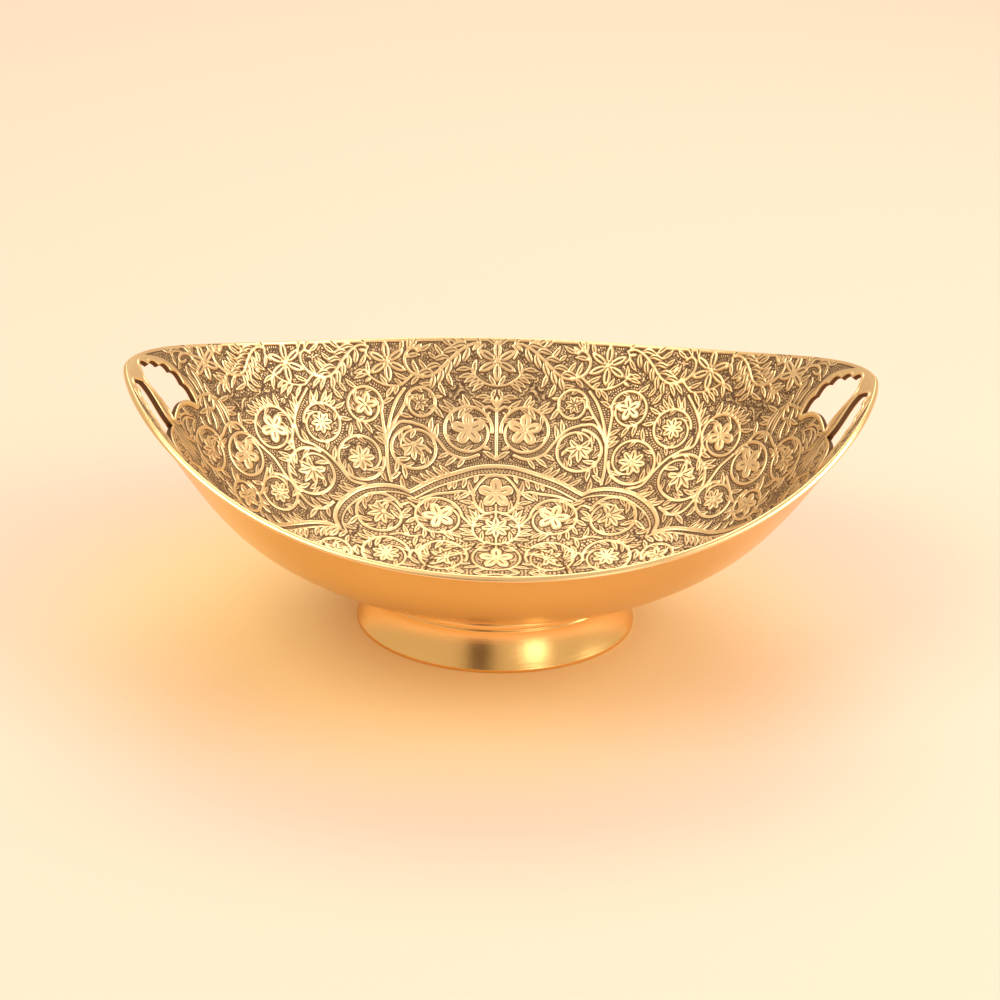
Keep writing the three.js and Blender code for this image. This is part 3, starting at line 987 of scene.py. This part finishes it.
# The floor's outer zone has twice the columns of its inner one, so triangles stitch the two.
zones = [zone_field(zone) for zone in range(4)]
(inner, inner_values), (outer, outer_values) = (inside_points(*zone) for zone in zones[:2])
rows, few, many = *inner.shape[:2], outer.shape[1]
ring, outer_start, middle = np.arange(few), rows * few, rows * few + len(outer) * many
last, first = (rows - 2) * few + ring, outer_start + 2 * ring
between, first_after = first + 1, outer_start + (2 * ring + 2) % many
last_after = np.roll(last, -1)
corners = [
    (first, between, last),
    (between, last_after, last),
    (between, first_after, last_after),
    (ring, np.roll(ring, -1), np.full(few, middle)),
]
triangles = [np.stack(three, -1) for three in corners]
quads = np.concatenate([grid_faces(rows - 1, few), grid_faces(len(outer), many) + outer_start])
points = [inner.reshape(-1, 3), outer.reshape(-1, 3), inner[0].mean(0, keepdims=True)]
values = {
    key: np.concatenate([value.ravel(), outer_values[key].ravel(), [value[0].mean()]])
    for key, value in inner_values.items()
}
add_piece("chased_floor", chased, "bowl", np.concatenate(points), quads, triangles, values)

for zone, label in ((2, "lower"), (3, "upper")):
    points, values = inside_points(*zones[zone])
    if zone == 2:  # its first ring has twice the corners of the floor's last: the odd ones lie between
        points[0, 1::2] = (points[0, 0::2] + np.roll(points[0, 0::2], -1, axis=0)) / 2
    count = points.shape[1]
    quads = grid_faces(len(points), count)
    clear = (zones[zone][2][3].ravel() > edge_clearance)[quads].all(1)
    for quarter, part in enumerate(("right_end", "back_side", "left_end", "front_side")):
        inside = (quads[:, 0] % count - (2 * quarter - 1) * (count // 8)) % count < count // 4
        name, kept = f"chased_{label}_{part}", quads[inside & clear]
        add_piece(name, chased, "bowl", points, kept, values=values)


# ---- Foot ring ----
# The foot is a separate brass casting, turned on a lathe: a flared skirt with a lip at the base, a
# fine step under its neck, and the neck brazed to the bowl. Turning lines run round it.

foot_length, foot_width = 116.8, 88.8
foot_flare, foot_wall, foot_lip = 5.8, 2.8, 1.4
step_height, step_depth, seat_clearance = 16.6, 0.5, 0.3

foot_turns = np.linspace(0, 2 * np.pi, 721)[:-1]


def foot_ring_at(offset, height=None, drop=0.0):
    """Oval ring in mm at an outward offset from the base line, at a height, or else a drop below the
    seat, which is the underside of the bowl less the clearance."""
    x = (foot_length / 2 + offset) * np.cos(foot_turns)
    y = (foot_width / 2 + offset) * np.sin(foot_turns)
    z = height_above(x, y) - seat_clearance - drop if height is None else np.full_like(x, height)
    return np.stack([x, y, z], -1)


skirt_top = step_height - step_depth
neck, inner_face = -foot_flare - step_depth, -foot_flare - foot_wall
foot_profile = [(-0.4, 0.0), (-0.12, 0.1), (0.0, 0.4)]
for t in np.linspace(0, 1, 34):
    foot_profile.append((-foot_flare * (1 - (1 - t) ** 1.5), mixed(foot_lip, skirt_top, t)))
foot_profile += [(-foot_flare - 0.1, skirt_top + 0.18), (neck, step_height)]
foot_profile += [(neck - 0.02, step_height + 0.35), (neck,), (inner_face,)]
foot_profile += [(inner_face, step_height / 2), (-foot_wall, foot_lip), (-foot_wall, 0.0)]
foot_points = np.stack([foot_ring_at(*place) for place in foot_profile + foot_profile[:1]])

turned_metal = Finish("turned_brass")
turning = turned_metal.noise(260, 5, 0.7, stretch=(0.02, 0.02, 12.0))
coarse_turning = turned_metal.noise(90, 2, 0.5, stretch=(0.02, 0.02, 8.0))
turned_metal.set(
    Metallic=1.0,
    Base_Color=turned_metal.colours(turning, (0.86, 0.49, 0.16), (0.95, 0.63, 0.26)),
    Roughness=0.14 + 0.14 * turning,
    Normal=turned_metal.bump(turning * 0.7 + coarse_turning, 0.00006, 0.6),
)
foot_quads = grid_faces(*foot_points.shape[:2])
add_piece("foot", turned_metal, "foot_ring", foot_points, foot_quads)


# ---- Braze fillet ----
# Filler metal in the corner between the inside of the neck and the underside holds the foot on.
# It is left as it flowed, dull and a little uneven.

fillet_leg, fillet_hollow = 3.0, 0.35
fillet_face = inner_face - seat_clearance
fillet_places = [(fillet_face, fillet_leg), (fillet_face, 0.0), (fillet_face - fillet_leg, 0.0)]
for t in np.linspace(1, 0, 9)[1:]:
    hollow = fillet_hollow * fillet_leg * np.sin(np.pi * t) * 0.7
    offset, drop = fillet_face - fillet_leg * t + hollow, fillet_leg * (1 - t) - hollow
    fillet_places.append((min(offset, fillet_face), max(drop, 0.0)))
fillet_points = np.stack([foot_ring_at(offset, drop=drop) for offset, drop in fillet_places])
filler = Finish("filler_metal")
flow = filler.noise(220, 4, 0.6)
filler.set(
    Metallic=0.9,
    Base_Color=filler.colours(flow, (0.30, 0.20, 0.10), (0.70, 0.56, 0.30)),
    Roughness=0.42 + 0.25 * flow,
    Normal=filler.bump(flow, 0.0003, 0.7),
)
fillet_quads = grid_faces(*fillet_points.shape[:2])
add_piece("braze_line", filler, "braze_fillet", fillet_points, fillet_quads)


# ---- Table, light and camera ----
# A warm table under soft studio light, seen from the front and a little above. Round the foot and under
# the bowl the table carries a painted orange glow, painted light thrown back by the brass.


def stage_sheet(name, finish, corners):
    make_mesh(name, finish, np.array(corners), np.array([[0, 1, 2, 3]]))


paper = Finish("warm_paper")
grain = paper.noise(500, 3, 0.5)
far_paper = paper.colours(grain, (0.84, 0.615, 0.535), (0.86, 0.63, 0.55))
under_bowl = paper.object_place(Location=(0.018, 0.0, 0.0), Scale=(0.72, 1.0, 1.0))
away = paper.node("VectorMath", {0: under_bowl}, 1, operation="LENGTH")
# Painted light: close to the bowl the table colour turns deep orange, a painted glow of light reflected
# off the brass.
painted_brass_glow = paper.between(0.158, 0.045, away)
paper.set(
    Base_Color=paper.colours(painted_brass_glow, far_paper, (0.92, 0.67, 0.33)),
    Roughness=0.65,
    Normal=paper.bump(grain, 0.0001, 0.1),
)
wide = 3000.0
stage_sheet("table", paper, [(-wide, -wide, 0), (wide, -wide, 0), (wide, wide, 0), (-wide, wide, 0)])

# A dark card stands on the table in front and to the left, out of view. The foot mirrors it.
left, right, high, ahead = -330.0, -20.0, 700.0, -1100.0
felt = Finish("dark_felt")
felt.set(Base_Color=(0.05, 0.03, 0.02), Roughness=0.9)
card_corners = [(left, ahead, 0), (right, ahead, 0), (right, ahead, high), (left, ahead, high)]
stage_sheet("dark_card", felt, card_corners)

soft_lights = {
    "key_left": ((-0.9, -0.5, 1.3), 0.05, (0.9, 0.9), 12, (1.0, 0.90, 0.76)),
    "fill_right": ((1.2, -0.3, 0.9), 0.05, (0.7, 0.9), 12, (1.0, 0.93, 0.82)),
    "low_front": ((0.45, -0.95, 0.22), 0.02, (0.22, 0.35), 0.7, (1.0, 0.95, 0.86)),
    "top_back": ((0.1, 1.1, 1.5), 0.05, (1.2, 0.8), 12, (1.0, 0.92, 0.80)),
}
for name, (place, aim, size, power, colour) in soft_lights.items():
    lamp = bpy.data.lights.new(name, "AREA")
    lamp.shape, lamp.energy, lamp.color = "RECTANGLE", power, colour
    lamp.size, lamp.size_y = size
    holder = bpy.data.objects.new(name, lamp)
    bpy.context.scene.collection.objects.link(holder)
    holder.location = place
    holder.rotation_euler = (Vector((0, 0, aim)) - Vector(place)).to_track_quat("-Z", "Y").to_euler()

bpy.context.scene.view_settings.view_transform = "Standard"
world = bpy.data.worlds.new("studio")
bpy.context.scene.world = world
world.use_nodes = True
sky = world.node_tree.nodes["Background"].inputs
sky["Color"].default_value, sky["Strength"].default_value = (1.0, 0.83, 0.62, 1.0), 0.75

camera_distance, camera_elevation = 0.900, 29.49 * degree
camera_turn, camera_roll = -1.44 * degree, 1.72 * degree
camera_target = np.array([0.000606, 0.0, 0.055843])
lens_length, film_width = 78.82, 36.0

forward = np.array([0, math.cos(camera_elevation), -math.sin(camera_elevation)])
upward = np.array([0, math.sin(camera_elevation), math.cos(camera_elevation)])
sideways = np.array([1.0, 0, 0])
right = sideways * math.cos(camera_roll) + upward * math.sin(camera_roll)
up = -sideways * math.sin(camera_roll) + upward * math.cos(camera_roll)
cos, sin = math.cos(camera_turn), math.sin(camera_turn)
spin = np.array([(cos, -sin, 0), (sin, cos, 0), (0, 0, 1)])
matrix = np.eye(4)
matrix[:3, :3] = spin @ np.stack([right, up, -forward], -1)
matrix[:3, 3] = spin @ (camera_target - forward * camera_distance)
lens = bpy.data.cameras.new("camera")
lens.lens, lens.sensor_width = lens_length, film_width
camera = bpy.data.objects.new("camera", lens)
bpy.context.scene.collection.objects.link(camera)
camera.matrix_world = Matrix(matrix.tolist())
bpy.context.scene.camera = camera

bpy.context.view_layer.update()
